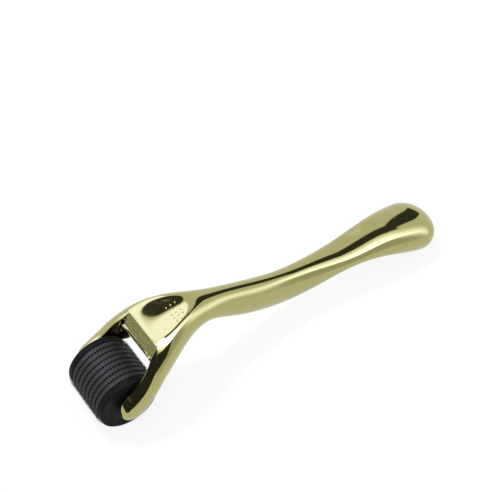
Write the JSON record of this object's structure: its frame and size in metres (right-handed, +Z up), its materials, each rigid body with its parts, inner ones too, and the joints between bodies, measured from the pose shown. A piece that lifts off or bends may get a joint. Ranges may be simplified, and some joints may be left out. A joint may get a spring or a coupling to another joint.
{
  "type": "derma roller",
  "caption": "Skin needling roller: a plated fork handle with a bulb-ended grip and a free-turning roller of stacked needle discs.",
  "frame": {"origin": "under the middle of the object's box, on the surface it lies on", "axes": "+X runs from the roller to the bulb end of the grip, +Y along the roller's axle, +Z up"},
  "size_m": [0.1346, 0.031, 0.0317],
  "materials": {
    "gold_plate": "polished",
    "bush_plastic": "satin",
    "cap_plastic": "satin",
    "ring_plastic": "satin",
    "needle_steel": "satin"
  },
  "bodies": {
    "handle": {"upper_shell": "gold_plate", "lower_shell": "gold_plate", "left_axle_bush": "bush_plastic", "right_axle_bush": "bush_plastic"},
    "roller": {"core_spindle": "bush_plastic", "left_end_cap": "cap_plastic", "right_end_cap": "cap_plastic", "needle_disc_1": "needle_steel", "needle_disc_2": "needle_steel", "needle_disc_3": "needle_steel", "needle_disc_4": "needle_steel", "needle_disc_5": "needle_steel", "needle_disc_6": "needle_steel", "needle_disc_7": "needle_steel", "needle_disc_8": "needle_steel", "needle_disc_9": "needle_steel", "spacer_ring_1": "ring_plastic", "spacer_ring_2": "ring_plastic", "spacer_ring_3": "ring_plastic", "spacer_ring_4": "ring_plastic", "spacer_ring_5": "ring_plastic", "spacer_ring_6": "ring_plastic", "spacer_ring_7": "ring_plastic", "spacer_ring_8": "ring_plastic"}
  },
  "joints": [
    {"name": "roller_spin", "type": "hinge", "parent": "handle", "child": "roller", "pos_m": [-0.0565, 0, 0.0108], "axis": [0, 1, 0], "continuous": true}
  ]
}
